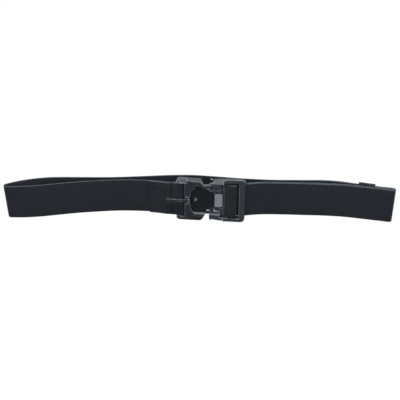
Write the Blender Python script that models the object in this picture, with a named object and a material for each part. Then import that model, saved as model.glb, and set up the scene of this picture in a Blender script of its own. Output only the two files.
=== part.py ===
# A tactical belt of ribbed nylon webbing, buckled into a closed loop and standing on its edge.
# World axes: +X to the wearer's left along the loop, +Y from the buckle to the back run, +Z up, in metres.
# Sizes below are in millimetres and are scaled once, where a mesh is made.

import math

import bmesh
import bpy
import numpy as np
from mathutils import Matrix

MM = 0.001

# Webbing
WEBBING_WIDTH = 38.0
WEBBING_THICKNESS = 1.5
LAYER_GAP = 0.3
FOLD_LENGTH = 35.0
FOLD_MERGE = 11.0
TAIL_LENGTH = 262.0
TAIL_START = 4.0
TAIL_LIFT = 0.35
SAMPLE_STEP = 7.0

# Buckle frame: its middle in the plan, its turn about Z and the height of its middle plane
BUCKLE_X = 12.5
BUCKLE_Y = -11.0
BUCKLE_YAW = -6.5
FRAME_HALF_HEIGHT = 24.25
FRAME_TOP = 25.2
LEFT_HALF_HEIGHT = 24.1
LEFT_TOP = 23.0
EAR_TOP = 24.0
SLOT_HALF_HEIGHT = WEBBING_WIDTH / 2 + 0.3

# Depths in the buckle, positive on the side away from the loop
SHOULDER_FRONT = 6.4
EAR_FRONT = 4.8
SHELL_BACK = -6.0
EAR_BACK = -3.6
ARM_FRONT = 5.2
ARM_BACK = -5.0
FRAME_FRONT = 3.0
FRAME_BACK = -2.8
POCKET_FLOOR = -2.6
TONGUE_BACK = -2.3
TONGUE_FRONT = 0.5
COVER_BACK = 0.9
COVER_FRONT = 2.9

# Left half along the buckle
LEFT_END = -38.1
PIN_U = -33.85
PIN_FLAT = 1.2
PIN_RADIUS = 1.6
PIN_PLAY = 0.25
WINDOW_RIGHT = -28.9
WALL_RIGHT = -22.4
LEFT_TIP = -5.6
POCKET_HALF_HEIGHT = 15.25
POCKET_LOWER = 13.75
EAR_RIGHT = -26.6
PIN_HOLE_END = 21.2
LUG_END = -8.6
NOTCH_HALF_HEIGHT = 4.8

# Right half along the buckle
ARM_TIP = -2.1
CROSSBAR = (10.5, 13.5)
LEDGE_END = 16.8
CENTRE_BAR = (18.9, 25.6)
OUTER_BAR = (29.8, 36.3)
CENTRE_BAR_DEPTH = (-1.8, 2.0)
TONGUE_TIP = -17.5
TONGUE_HALF_HEIGHT = 12.6
ARM_END = 13.3
# Mouth of the adjuster's slots, looking along the buckle: depth, height
MOUTH = ((0.6, -19.3), (3.6, -20.9), (9.0, -20.9), (9.0, 21.5), (2.8, 21.5), (0.6, 19.3))
# Ribs on the floor between the arms: along the buckle, height
FLOOR_RIBS = (
    ((-3.4, 12.2), (-1.5, 10.2), (1.7, 10.2)),
    ((2.1, 13.2), (4.6, 8.9)),
)

# Keeper loop
KEEPER_WALL = 1.0
KEEPER_PLAY = 0.3
KEEPER_LENGTH = 17.5
KEEPER_START_X = 172.5

# Centre line of the webbing in the plan, clockwise from the bar pin: front left run, left bend,
# back run, right bend, front right run. Columns: x, y and the lower edge's height above the floor.
FRONT_LEFT_RUN = (
    (-33.2, -5.9, 5.05),
    (-44.4, -2.4, 4.70),
    (-55.8, 0.8, 4.35),
    (-67.2, 2.5, 4.05),
    (-78.6, 3.8, 3.70),
    (-90.0, 4.6, 3.35),
    (-101.2, 4.4, 3.05),
    (-112.3, 3.7, 2.70),
    (-134.5, 1.8, 2.05),
    (-156.2, -1.8, 1.45),
    (-177.8, -5.4, 0.80),
    (-199.6, -6.6, 0.15),
)
BACK_RUN = (
    (-203.0, 7.3, 0.0),
    (-189.5, 13.9, 0.0),
    (-168.5, 19.2, 0.0),
    (-134.8, 19.5, 0.0),
    (-100.0, 19.4, 0.0),
    (-67.7, 22.0, 0.0),
    (-34.0, 25.4, 0.0),
    (-8.0, 25.5, 0.0),
    (15.0, 21.9, 0.0),
    (43.5, 16.3, 0.0),
    (77.8, 11.9, 0.0),
    (111.0, 10.6, 0.2),
    (133.0, 9.4, 0.7),
    (146.0, 7.2, 1.0),
    (158.0, 3.2, 1.3),
    (171.0, -2.0, 1.40),
    (190.0, -8.8, 1.40),
)
FRONT_RIGHT_RUN = (
    (198.5, -17.8, 1.45),
    (186.2, -15.0, 1.70),
    (175.8, -12.7, 1.95),
    (165.5, -10.4, 2.20),
    (154.8, -8.7, 2.50),
    (132.7, -7.2, 3.05),
    (110.5, -7.0, 3.60),
    (88.4, -6.7, 4.15),
    (66.2, -7.8, 4.70),
)
# The two bends: centre, radius of the centre line, the angles it turns through and its lift
LEFT_BEND = {"x": -209.2, "y": -2.2, "radius": 4.25, "start": 265.0, "end": 130.0, "lift": 0.0}
RIGHT_BEND = {"x": 205.4, "y": -16.5, "radius": 3.15, "start": 80.0, "end": -95.0, "lift": 1.40}
# At the left bend the lower edge leans in towards the loop
LEAN = 0.9
LEAN_START_X = -188.0
LEAN_FULL_X = -212.0
BUCKLE_LIFT = FRAME_HALF_HEIGHT - WEBBING_WIDTH / 2

# Weave of the webbing round the adjuster. Columns: along the buckle, depth
MAIN_BEHIND_BAR = FRAME_BACK - 0.35 - WEBBING_THICKNESS / 2
ADJUSTER_WEAVE = (
    (35.4, MAIN_BEHIND_BAR),
    (31.5, MAIN_BEHIND_BAR),
    (28.6, MAIN_BEHIND_BAR + 0.05),
    (27.4, MAIN_BEHIND_BAR + 0.6),
    (26.75, MAIN_BEHIND_BAR + 1.7),
    (26.65, 0.0),
    (26.45, 2.2),
    (25.5, 3.1),
    (22.2, 3.15),
    (19.0, 3.1),
    (18.05, 2.2),
    (17.85, 0.0),
    (17.9, -2.6),
    (19.0, -4.8),
    (21.8, MAIN_BEHIND_BAR - WEBBING_THICKNESS - LAYER_GAP),
    (31.5, MAIN_BEHIND_BAR - WEBBING_THICKNESS - LAYER_GAP),
)


# Scene and materials

def clear_scene():
    for item in list(bpy.data.objects):
        bpy.data.objects.remove(item, do_unlink=True)


def make_material(name, colour, roughness, metallic):
    material = bpy.data.materials.new(name)
    material.use_nodes = True
    shader = material.node_tree.nodes["Principled BSDF"]
    shader.inputs["Base Color"].default_value = (*colour, 1.0)
    shader.inputs["Roughness"].default_value = roughness
    shader.inputs["Metallic"].default_value = metallic
    return material


# Mesh helpers

def make_object(name, vertices, faces, material=None, parent=None):
    mesh = bpy.data.meshes.new(name)
    mesh.from_pydata([tuple(MM * value for value in vertex) for vertex in vertices], [], faces)
    work = bmesh.new()
    work.from_mesh(mesh)
    bmesh.ops.recalc_face_normals(work, faces=work.faces)
    work.to_mesh(mesh)
    work.free()
    item = bpy.data.objects.new(name, mesh)
    bpy.context.scene.collection.objects.link(item)
    if material is not None:
        item.data.materials.append(material)
    item.parent = parent
    return item


def round_corners(corners, steps=4):
    """Returns an outline whose corner (a, b, radius) is an arc of that radius."""
    outline = []
    for index, (a, b, radius) in enumerate(corners):
        here = np.array([a, b])
        before = np.array(corners[index - 1][:2]) - here
        after = np.array(corners[(index + 1) % len(corners)][:2]) - here
        before = before / np.linalg.norm(before)
        after = after / np.linalg.norm(after)
        half_angle = math.acos(float(np.clip(before @ after, -1.0, 1.0))) / 2
        if radius <= 0.0 or math.cos(half_angle) < 1e-3:
            outline.append((a, b))
            continue
        middle = (before + after) / np.linalg.norm(before + after)
        centre = here + middle * radius / math.sin(half_angle)
        reach = radius / math.tan(half_angle)
        start = here + before * reach - centre
        end = here + after * reach - centre
        sweep = math.atan2(start[0] * end[1] - start[1] * end[0], float(start @ end))
        for step in range(steps + 1):
            turn = sweep * step / steps
            outline.append((
                centre[0] + start[0] * math.cos(turn) - start[1] * math.sin(turn),
                centre[1] + start[0] * math.sin(turn) + start[1] * math.cos(turn),
            ))
    return outline


def mirrored(upper):
    """Adds below the middle plane the mirror image of an upper half outline."""
    return list(upper) + [(a, -b, *rest) for a, b, *rest in reversed(upper)]


def prism(name, outline, low, high, place, material=None, parent=None):
    """Extrudes an outline from low to high; place turns (a, b, c) into buckle x, y, z."""
    count = len(outline)
    vertices = [place(a, b, low) for a, b in outline] + [place(a, b, high) for a, b in outline]
    faces = [tuple(range(count)), tuple(range(count, 2 * count))]
    for index in range(count):
        following = (index + 1) % count
        faces.append((index, following, following + count, index + count))
    return make_object(name, vertices, faces, material, parent)


def face_on(u, v, w):
    """An outline drawn in front view, extruded in depth."""
    return (u, -w, v)


def from_above(u, w, v):
    """An outline drawn in plan, extruded in height."""
    return (u, -w, v)


def end_on(w, v, u):
    """An outline drawn looking along the buckle, extruded along it."""
    return (u, -w, v)


def band_outline(points, width):
    """Outline of a band of even width along a bent line."""
    points = np.array(points)
    tangent = np.gradient(points, axis=0)
    across = np.column_stack([-tangent[:, 1], tangent[:, 0]])
    across *= width / 2 / np.linalg.norm(across, axis=1)[:, None]
    return [tuple(point) for point in np.vstack([points + across, (points - across)[::-1]])]


def block(name, u_range, v_range, w_range, material=None, parent=None):
    outline = [(u_range[0], v_range[0]), (u_range[1], v_range[0]),
               (u_range[1], v_range[1]), (u_range[0], v_range[1])]
    return prism(name, outline, w_range[0], w_range[1], face_on, material, parent)


def combine(target, others, operation):
    """Applies a Boolean of each other shape to the target and removes the shape."""
    for other in others:
        modifier = target.modifiers.new(operation.lower(), "BOOLEAN")
        modifier.operation = operation
        modifier.object = other
        apply_modifiers(target)
        bpy.data.objects.remove(other, do_unlink=True)


def apply_modifiers(item):
    graph = bpy.context.evaluated_depsgraph_get()
    mesh = bpy.data.meshes.new_from_object(item.evaluated_get(graph))
    item.modifiers.clear()
    item.data = mesh


def soften(item, width, segments=2, angle=30.0):
    """Cleans a cut mesh and rounds its sharp edges."""
    work = bmesh.new()
    work.from_mesh(item.data)
    bmesh.ops.remove_doubles(work, verts=work.verts, dist=0.02 * MM)
    bmesh.ops.dissolve_limit(work, angle_limit=math.radians(2.0), verts=work.verts, edges=work.edges)
    work.to_mesh(item.data)
    work.free()
    modifier = item.modifiers.new("soft_edges", "BEVEL")
    modifier.width = width * MM
    modifier.segments = segments
    modifier.limit_method = "ANGLE"
    modifier.angle_limit = math.radians(angle)
    modifier.use_clamp_overlap = True


# Webbing path

def smooth_through(points, step=SAMPLE_STEP):
    """Reads a centripetal Catmull-Rom curve through the points, about one sample each step."""
    points = np.asarray(points, float)
    ends = np.vstack([2 * points[0] - points[1], points, 2 * points[-1] - points[-2]])
    samples = []
    for p0, p1, p2, p3 in zip(ends[:-3], ends[1:-2], ends[2:-1], ends[3:]):
        knots = np.cumsum([0.0] + [np.linalg.norm(b - a) ** 0.5 for a, b in ((p0, p1), (p1, p2), (p2, p3))])
        count = max(1, math.ceil(np.linalg.norm(p2 - p1) / step))
        for t in np.linspace(knots[1], knots[2], count, endpoint=False):
            a1 = blend(p0, p1, knots[0], knots[1], t)
            a2 = blend(p1, p2, knots[1], knots[2], t)
            a3 = blend(p2, p3, knots[2], knots[3], t)
            b1 = blend(a1, a2, knots[0], knots[2], t)
            b2 = blend(a2, a3, knots[1], knots[3], t)
            samples.append(blend(b1, b2, knots[1], knots[2], t))
    samples.append(points[-1])
    return np.array(samples)


def blend(first, second, start, end, t):
    return first + (second - first) * (t - start) / (end - start)


def bend_points(bend, count):
    """Points (x, y, lift) along a round bend of the webbing."""
    angles = np.radians(np.linspace(bend["start"], bend["end"], count))
    return np.column_stack([
        bend["x"] + bend["radius"] * np.cos(angles),
        bend["y"] + bend["radius"] * np.sin(angles),
        np.full(count, bend["lift"]),
    ])


def buckle_to_plan(u, w):
    """Turns a place in the buckle, along it and towards the front, into the plan."""
    turn = math.radians(BUCKLE_YAW)
    return (BUCKLE_X + u * math.cos(turn) + w * math.sin(turn),
            BUCKLE_Y + u * math.sin(turn) - w * math.cos(turn))


def inward_normals(line):
    """Unit normals in the plan, towards the inside of the clockwise loop."""
    tangent = np.gradient(line[:, :2], axis=0)
    tangent /= np.linalg.norm(tangent, axis=1)[:, None]
    return np.column_stack([tangent[:, 1], -tangent[:, 0]])


def run_lengths(line):
    return np.concatenate([[0.0], np.cumsum(np.linalg.norm(np.diff(line[:, :2], axis=0), axis=1))])


def beside(line, distance, lift=0.0):
    """The line moved sideways, positive to the inside of the loop, and raised."""
    moved = line.copy()
    moved[:, :2] += inward_normals(line) * distance
    moved[:, 2] += lift
    return moved


def stretch(line, start, end):
    """The part of a line between two lengths along it, cut exactly there."""
    lengths = run_lengths(line)
    inside = lengths[(lengths > start + 0.5) & (lengths < end - 0.5)]
    wanted = np.concatenate([[start], inside, [end]])
    return np.column_stack([np.interp(wanted, lengths, line[:, column]) for column in range(3)])


def pin_arc():
    """The webbing's turn round the bar pin, from its front, over its right side, to its back."""
    radius = PIN_RADIUS + PIN_PLAY + WEBBING_THICKNESS / 2
    path = [(PIN_U - PIN_FLAT, radius), (PIN_U, radius)]
    for angle in np.radians(np.linspace(90.0, -90.0, 9)):
        path.append((PIN_U + PIN_FLAT + radius * math.cos(angle), radius * math.sin(angle)))
    path += [(PIN_U, -radius), (PIN_U - PIN_FLAT, -radius)]
    return [(*buckle_to_plan(u, w), BUCKLE_LIFT) for u, w in path]


def main_line():
    """Centre line from behind the bar pin, round the whole loop, to behind the outer bar."""
    start = pin_arc()[-1]
    x, y = buckle_to_plan(*ADJUSTER_WEAVE[0])
    points = [start, *FRONT_LEFT_RUN, *bend_points(LEFT_BEND, 6), *BACK_RUN,
              *bend_points(RIGHT_BEND, 7), *FRONT_RIGHT_RUN, (x, y, BUCKLE_LIFT)]
    return smooth_through(points)


def webbing_line():
    """The whole webbing: fold, turn round the pin, loop, weave through the adjuster and tail."""
    layer_step = WEBBING_THICKNESS + LAYER_GAP
    main = main_line()
    fold = stretch(beside(main, -layer_step), FOLD_MERGE, FOLD_LENGTH)[::-1]
    pin_turn = smooth_through(fold[-1:].tolist() + pin_arc(), 1.5)[1:-1]
    weave = [(*buckle_to_plan(u, w), BUCKLE_LIFT) for u, w in ADJUSTER_WEAVE]
    weave = smooth_through(weave, 1.6)[1:]
    weave[-4:, 2] += np.linspace(0.0, TAIL_LIFT, 4)
    tail = stretch(beside(main[::-1], -layer_step, TAIL_LIFT), TAIL_START, TAIL_LENGTH)
    return np.vstack([fold, pin_turn, main, weave, tail])


# Pieces of cloth

def lean_at(x):
    """How far the lower edge is drawn inwards: none along the runs, all of it at the left bend."""
    share = min(max((LEAN_START_X - x) / (LEAN_START_X - LEAN_FULL_X), 0.0), 1.0)
    return LEAN * share * share * (3.0 - 2.0 * share)


def sweep(name, line, section, material):
    """Sweeps a closed section of (inward, up) points along the plan line, with closed ends."""
    normals = inward_normals(line)
    count = len(section)
    vertices = []
    for (x, y, lift), (nx, ny) in zip(line, normals):
        for inward, up in section:
            inward += lean_at(x) * (1.0 - up / WEBBING_WIDTH)
            vertices.append((x + nx * inward, y + ny * inward, lift + up))
    faces = [tuple(range(count)), tuple(range(len(vertices) - count, len(vertices)))]
    for station in range(len(line) - 1):
        for index in range(count):
            following = (index + 1) % count
            low = station * count
            faces.append((low + index, low + following, low + count + following, low + count + index))
    return make_object(name, vertices, faces, material)


def build_webbing(material):
    half = WEBBING_THICKNESS / 2
    section = ((-half, 0.0), (half, 0.0), (half, WEBBING_WIDTH), (-half, WEBBING_WIDTH))
    return sweep("webbing", webbing_line(), section, material)


def build_keeper(material):
    """A loop of thin band round the strap and its tail, open at both ends."""
    main = main_line()
    middle = beside(main, (WEBBING_THICKNESS + LAYER_GAP) / 2)
    after = np.argmax(middle[:, 0] > KEEPER_START_X)
    around = slice(after - 1, after + 1)
    start = np.interp(KEEPER_START_X, middle[around, 0], run_lengths(middle)[around])
    middle = stretch(middle, start, start + KEEPER_LENGTH)
    half_depth = WEBBING_THICKNESS + LAYER_GAP / 2 + KEEPER_PLAY
    outer_depth = half_depth + KEEPER_WALL
    low = -KEEPER_PLAY
    high = WEBBING_WIDTH + TAIL_LIFT + KEEPER_PLAY
    inner = ((-half_depth, low), (half_depth, low), (half_depth, high), (-half_depth, high))
    outer = ((-outer_depth, low - KEEPER_WALL), (outer_depth, low - KEEPER_WALL),
             (outer_depth, high + KEEPER_WALL), (-outer_depth, high + KEEPER_WALL))
    normals = inward_normals(middle)
    vertices = []
    for (x, y, lift), (nx, ny) in zip(middle, normals):
        for inward, up in outer + inner:
            vertices.append((x + nx * inward, y + ny * inward, lift + up))
    faces = []
    last = 8 * (len(middle) - 1)
    for index in range(4):
        following = (index + 1) % 4
        for low_ring in (0, last):
            faces.append((low_ring + index, low_ring + following,
                          low_ring + 4 + following, low_ring + 4 + index))
        for station in range(len(middle) - 1):
            for ring in (8 * station, 8 * station + 4):
                faces.append((ring + index, ring + following, ring + 8 + following, ring + 8 + index))
    return make_object("keeper_loop", vertices, faces, material)


# Left half of the buckle

def build_buckle_left(material, parent):
    """Ears, end wall, two shoulders and the pocket's back plate, in one moulding."""
    front = round_corners([
        (LEFT_TIP, POCKET_HALF_HEIGHT, 0.8), (LEFT_TIP - 5.6, LEFT_TOP, 4.0),
        (EAR_RIGHT + 0.8, LEFT_TOP, 0.0), (EAR_RIGHT - 0.4, EAR_TOP, 0.0), (LEFT_END, EAR_TOP, 4.2),
        (LEFT_END, -LEFT_HALF_HEIGHT, 4.2), (LEFT_TIP - 5.6, -LEFT_HALF_HEIGHT, 4.0),
        (LEFT_TIP, -POCKET_LOWER, 0.8),
    ])
    body = prism("buckle_left", front, SHELL_BACK - 1, SHOULDER_FRONT + 1, face_on, material, parent)
    plan = round_corners([
        (LEFT_END - 1, EAR_BACK, 0.0), (-27.5, EAR_BACK, 0.0), (-23.0, SHELL_BACK, 0.0),
        (LEFT_TIP + 1, SHELL_BACK, 0.0), (LEFT_TIP + 1, SHOULDER_FRONT, 0.0),
        (-20.0, SHOULDER_FRONT, 1.0), (-25.5, EAR_FRONT, 1.0), (LEFT_END - 1, EAR_FRONT, 0.0),
    ])
    limit = LEFT_HALF_HEIGHT + 2
    chamfered = [
        (SHELL_BACK, LEFT_TOP - 2.0), (SHELL_BACK + 3.5, LEFT_TOP + 1.5),
        (SHOULDER_FRONT - 1.8, LEFT_TOP + 1.5), (SHOULDER_FRONT, LEFT_TOP - 0.3),
        (SHOULDER_FRONT, 4.9 - LEFT_HALF_HEIGHT), (SHOULDER_FRONT - 2.9, -LEFT_HALF_HEIGHT),
        (SHELL_BACK + 2.0, -LEFT_HALF_HEIGHT), (SHELL_BACK, 2.0 - LEFT_HALF_HEIGHT),
    ]
    combine(body, [
        prism("plan", plan, -limit, limit, from_above, None, parent),
        prism("chamfered", chamfered, LEFT_END - 1, LEFT_TIP + 1, end_on, None, parent),
    ], "INTERSECT")
    pocket = [(LEFT_TIP + 3, POCKET_HALF_HEIGHT), (-17.05, POCKET_HALF_HEIGHT), (WALL_RIGHT, 9.9),
              (WALL_RIGHT, -9.9), (-18.55, -POCKET_LOWER), (LEFT_TIP + 3, -POCKET_LOWER)]
    front_cut = SHOULDER_FRONT + 2
    # The pocket's mouth is chamfered, steeply under the upper shoulder and as a ledge over the lower one
    upper_mouth = [(3.3, POCKET_HALF_HEIGHT - 1), (front_cut, POCKET_HALF_HEIGHT - 1),
                   (front_cut, POCKET_HALF_HEIGHT + 3.15), (3.3, POCKET_HALF_HEIGHT)]
    lower_mouth = [(4.6, 1 - POCKET_LOWER), (front_cut, 1 - POCKET_LOWER),
                   (front_cut, -POCKET_LOWER - 2.9), (4.6, -POCKET_LOWER)]
    # The upper ear slopes from its top to its front
    ear_slope = [(0.8, EAR_TOP + 0.05), (4.9, 19.6), (9, 19.6), (9, EAR_TOP + 2), (0.8, EAR_TOP + 2)]
    hollows = [
        prism("upper_mouth", upper_mouth, -17.6, LEFT_TIP + 3, end_on, None, parent),
        prism("lower_mouth", lower_mouth, -18.9, LEFT_TIP + 3, end_on, None, parent),
        prism("ear_slope", ear_slope, LEFT_END - 1, EAR_RIGHT, end_on, None, parent),
        block("window", (LEFT_END - 2, WINDOW_RIGHT), (-SLOT_HALF_HEIGHT, SLOT_HALF_HEIGHT),
              (-10, 10), None, parent),
        prism("pocket", pocket, POCKET_FLOOR, front_cut, face_on, None, parent),
        block("notch", (WINDOW_RIGHT - 1, WALL_RIGHT + 1), (-NOTCH_HALF_HEIGHT, NOTCH_HALF_HEIGHT),
              (-1.0, front_cut), None, parent),
    ]
    # Behind its sloping end the upper shoulder is cut away; the lower lug's seat is in the lower one
    relief = [(-13.0, SHELL_BACK - 1.5), (-10.0, 2.2), (LEFT_TIP + 2, 2.2), (LEFT_TIP + 2, SHELL_BACK - 1.5)]
    hollows.append(prism("relief", relief, 14.8, limit, from_above, None, parent))
    hollows.append(block("lug_seat", (LUG_END - 0.4, LEFT_TIP + 1), (-17.5, -13.0),
                         (POCKET_FLOOR - 0.05, 0.8), None, parent))
    for side in (-1, 1):
        hollows.append(flat_pin("pin_hole", (side * 18.0, side * PIN_HOLE_END), PIN_RADIUS + PIN_PLAY,
                                None, parent))
        floor = 2.9 if side > 0 else EAR_FRONT - 0.7
        hollows.append(block("ear_dimple", (-33.4, -31.6), sorted((side * 20.3, side * 22.0)),
                             (floor, EAR_FRONT + 1), None, parent))
    combine(body, hollows, "DIFFERENCE")
    soften(body, 0.45)


def flat_pin(name, v_range, radius, material, parent, sides=16):
    """An upright bar of flattened round section, in the buckle's middle plane of depth."""
    outline = []
    for angle in 2 * math.pi * (np.arange(sides) + 0.5) / sides:
        middle = PIN_U + math.copysign(PIN_FLAT, math.cos(angle))
        outline.append((middle + radius * math.cos(angle), radius * math.sin(angle)))
    low, high = sorted(v_range)
    return prism(name, outline, low, high, from_above, material, parent)


def build_strap_pin(material, parent):
    end = PIN_HOLE_END - 0.3
    pin = flat_pin("strap_pin", (-end, end), PIN_RADIUS, material, parent)
    soften(pin, 0.3, 1, 50.0)


def build_cover_plate(material, parent):
    """The cover over the pocket, its foot on the pocket's floor and its raised arrow."""
    upper = [(1.4, 8.6, 0.6), (-2.2, 8.6, 0.6), (-7.9, 14.3, 0.6), (-17.5, 14.3, 0.6), (-22.1, 9.7, 0.6)]
    lower = [(-22.1, -9.7, 0.6), (-18.4, -13.4, 0.6), (-8.0, -13.4, 0.6), (-3.2, -8.6, 0.6), (1.4, -8.6, 0.6)]
    plate = prism("cover_plate", round_corners(upper + lower, 2), COVER_BACK, COVER_FRONT,
                  face_on, material, parent)
    foot = block("foot", (-22.1, -18.0), (-9.0, 9.0), (POCKET_FLOOR + 0.3, COVER_FRONT - 0.5), None, parent)
    arrow = prism("arrow", [(-18.3, -1.9), (-14.7, 0.8), (-18.3, 3.5)], COVER_FRONT - 0.5,
                  COVER_FRONT + 0.4, face_on, None, parent)
    combine(plate, [foot, arrow], "UNION")
    soften(plate, 0.3, 1)


# Right half of the buckle

def build_buckle_right(material, parent):
    """Two hooked arms, tongue, cross bar, rails, centre bar and outer bar, in one moulding."""
    upper = [
        (OUTER_BAR[1], FRAME_TOP, 4.0),
        (15.5, FRAME_TOP, 1.0),
        (12.5, 23.5, 1.0),
        (5.3, 22.6, 2.0),
        (2.4, 22.3, 0.4),
        (ARM_TIP - 0.3, 18.5, 0.4),
        (ARM_TIP - 0.3, POCKET_HALF_HEIGHT - 0.3, 0.8),
    ]
    lower = [
        (OUTER_BAR[1], FRAME_HALF_HEIGHT, 4.0),
        (15.5, FRAME_HALF_HEIGHT, 1.0),
        (12.5, 23.5, 1.0),
        (5.3, 22.4, 2.0),
        (1.0, 21.0, 0.6),
        (-0.7, 22.4, 0.3),
        (ARM_TIP, 22.2, 0.5),
        (ARM_TIP - 0.3, POCKET_HALF_HEIGHT - 0.3, 0.8),
    ]
    outline = upper + mirrored(lower)[len(lower):]
    front = round_corners(outline[::-1], 3)
    body = prism("buckle_right", front, -8, 8, face_on, material, parent)
    plan = round_corners([
        (ARM_TIP - 1, ARM_BACK, 0.0), (12.0, ARM_BACK, 0.6), (14.5, FRAME_BACK, 0.6),
        (OUTER_BAR[1] + 0.2, FRAME_BACK, 1.6), (OUTER_BAR[1] + 0.2, FRAME_FRONT - 0.4, 2.2),
        (OUTER_BAR[0] - 1.5, FRAME_FRONT + 0.2, 1.0), (15.2, FRAME_FRONT, 0.6),
        (13.6, ARM_FRONT, 0.6), (ARM_TIP - 1, ARM_FRONT, 0.0),
    ], 3)
    limit = FRAME_HALF_HEIGHT + 2
    # Behind, the top edge is chamfered; in front, the arms are, above and below
    ends = [(-9, FRAME_TOP - 2.2), (FRAME_BACK, FRAME_TOP - 2.2), (FRAME_BACK + 2.2, FRAME_TOP),
            (9, FRAME_TOP + 1), (9, -limit), (-9, -limit)]
    combine(body, [
        prism("plan", plan, -limit, limit, from_above, None, parent),
        prism("ends", ends, ARM_TIP - 1, OUTER_BAR[1] + 1, end_on, None, parent),
    ], "INTERSECT")
    slot = (-SLOT_HALF_HEIGHT, SLOT_HALF_HEIGHT)
    between = (-POCKET_HALF_HEIGHT + 0.3, POCKET_HALF_HEIGHT - 0.3)
    arms = (ARM_TIP - 2, CROSSBAR[0])
    cross = (CROSSBAR[0] - 1, CROSSBAR[1] + 1)
    centre = (CENTRE_BAR[0] - 1, CENTRE_BAR[1] + 1)
    corner = [(-3.6, 17.8), (2.6, 22.9), (2.6, 27.0), (-3.6, 27.0)]
    hollows = [
        block("front_hollow", arms, between, (TONGUE_FRONT, 9), None, parent),
        block("back_hollow", arms, between, (-9, TONGUE_BACK), None, parent),
        block("crossbar_front", cross, slot, (-1.4, 9), None, parent),
        block("crossbar_back", cross, slot, (-9, FRAME_BACK), None, parent),
        block("ledge_front", (CROSSBAR[1], LEDGE_END + 1), slot, (-1.9, 9), None, parent),
        block("inner_slot", (LEDGE_END, CENTRE_BAR[0]), slot, (-9, 9), None, parent),
        block("outer_slot", (CENTRE_BAR[1], OUTER_BAR[0]), slot, (-9, 9), None, parent),
        block("bar_front", centre, slot, (CENTRE_BAR_DEPTH[1], 9), None, parent),
        block("bar_back", centre, slot, (-9, CENTRE_BAR_DEPTH[0]), None, parent),
        prism("corner", corner, 1.0, 9, face_on, None, parent),
        prism("mouth", MOUTH, ARM_END, OUTER_BAR[0], end_on, None, parent),
        prism("upper_arm", [(2.6, 14.0), (9, 14.0), (9, 19.78), (2.6, 14.95)],
              ARM_TIP - 2, CROSSBAR[0], end_on, None, parent),
        block("arm_relief", (ARM_TIP - 2, 3.0), (17.6, 30), (-9, 2.2), None, parent),
        prism("lower_arm", [(4.0, -14.85), (9, -14.85), (9, -19.85)], ARM_TIP - 2, ARM_END,
              end_on, None, parent),
    ]
    for side, reach in ((-1, 26.7), (1, 25.9)):
        facet = [(9, side * (reach - 9)), (9, side * 30), (reach - 30, side * 30)]
        hollows.append(prism("facet", facet, ARM_TIP - 2, ARM_END, end_on, None, parent))
    combine(body, hollows, "DIFFERENCE")
    tongue = (TONGUE_BACK + 0.05, TONGUE_FRONT - 0.05)
    boss = [(6.5, 12.8), (8.6, 12.8), (9.3, 10.0), (5.9, 10.0)]
    additions = [
        block("tongue", (TONGUE_TIP, 0.0), (-TONGUE_HALF_HEIGHT, TONGUE_HALF_HEIGHT), tongue, None, parent),
        prism("boss", boss, 0.2, 1.9, face_on, None, parent),
    ]
    for rib in FLOOR_RIBS:
        additions.append(prism("rib", band_outline(rib, 0.8), 0.2, 1.3, face_on, None, parent))
    gusset = [(8.2, -14.6), (8.2, -13.6), (10.0, -9.2), (12.6, -9.2), (12.6, -17.0), (8.2, -17.0)]
    additions.append(prism("gusset", gusset, -1.4, 1.2, face_on, None, parent))
    # The upper lug passes behind the other half's shoulder, the lower one into its seat there;
    # the hook rises behind the upper arm
    additions.append(block("upper_lug", (LUG_END, 0.0), (15.1, 16.2), (-3.6, tongue[1]), None, parent))
    additions.append(block("lower_lug", (LUG_END, 0.0), (-17.2, -14.4), tongue, None, parent))
    hook = band_outline(((4.6, 20.2), (2.3, 20.9), (-1.2, 22.8)), 1.2)
    additions.append(prism("hook", hook, -4.4, -2.2, face_on, None, parent))
    combine(body, additions, "UNION")
    soften(body, 0.45)


def build_latch(metal, parent):
    """Grey latch plate on the tongue and the small angle foot below it."""
    seat = TONGUE_FRONT + 0.25
    outline = round_corners([(3.7, -7.2, 0.8), (12.0, -7.2, 0.8), (12.0, 8.0, 0.8), (3.7, 8.0, 0.8)], 2)
    plate = prism("latch_plate", outline, 1.55, 2.75, face_on, metal, parent)
    back = block("back", (4.3, 9.0), (-7.0, 7.0), (seat, 2.0), None, parent)
    combine(plate, [back], "UNION")
    soften(plate, 0.3, 1)
    leg = [(2.2, -13.7), (8.0, -13.7), (8.0, -12.4), (4.0, -12.4), (4.0, -10.5), (2.2, -10.5)]
    foot = prism("latch_foot", leg, seat, 2.6, face_on, metal, parent)
    soften(foot, 0.25, 1)


# Pull cord and tab. Columns of the route: along the buckle, height, depth

CORD_ROUTE = (
    (-23.0, -0.8, 2.4),
    (-26.0, -0.8, 2.6),
    (-29.0, -0.7, 3.6),
    (-32.0, -0.6, 5.0),
    (-35.0, -0.6, 5.6),
    (-37.4, -0.7, 5.6),
)
TAB_NARROW = {"u": -37.8, "v": -0.8, "half_height": 2.3, "back": 3.9, "front": 7.4}
TAB_WIDE = {"u": -49.5, "v": -2.1, "half_height": 3.4, "back": 2.6, "front": 6.0}


def build_pull_cord(material, parent):
    """Two strands side by side in one figure-of-eight section, swept along the route."""
    radius = 0.95
    offset = 0.85
    angles = np.radians(np.arange(-120, 121, 40))
    half = [(offset + radius * math.cos(a), radius * math.sin(a)) for a in angles]
    section = half + [(-up, -deep) for up, deep in half]
    line = smooth_through(CORD_ROUTE, 1.6)
    vertices = []
    for u, v, w in line:
        vertices += [(u, -(w + deep), v + up) for up, deep in section]
    count = len(section)
    faces = [tuple(range(count)), tuple(range(len(vertices) - count, len(vertices)))]
    for station in range(len(line) - 1):
        low = station * count
        for index in range(count):
            following = (index + 1) % count
            faces.append((low + index, low + following, low + count + following, low + count + index))
    return make_object("pull_cord", vertices, faces, material, parent)


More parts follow.
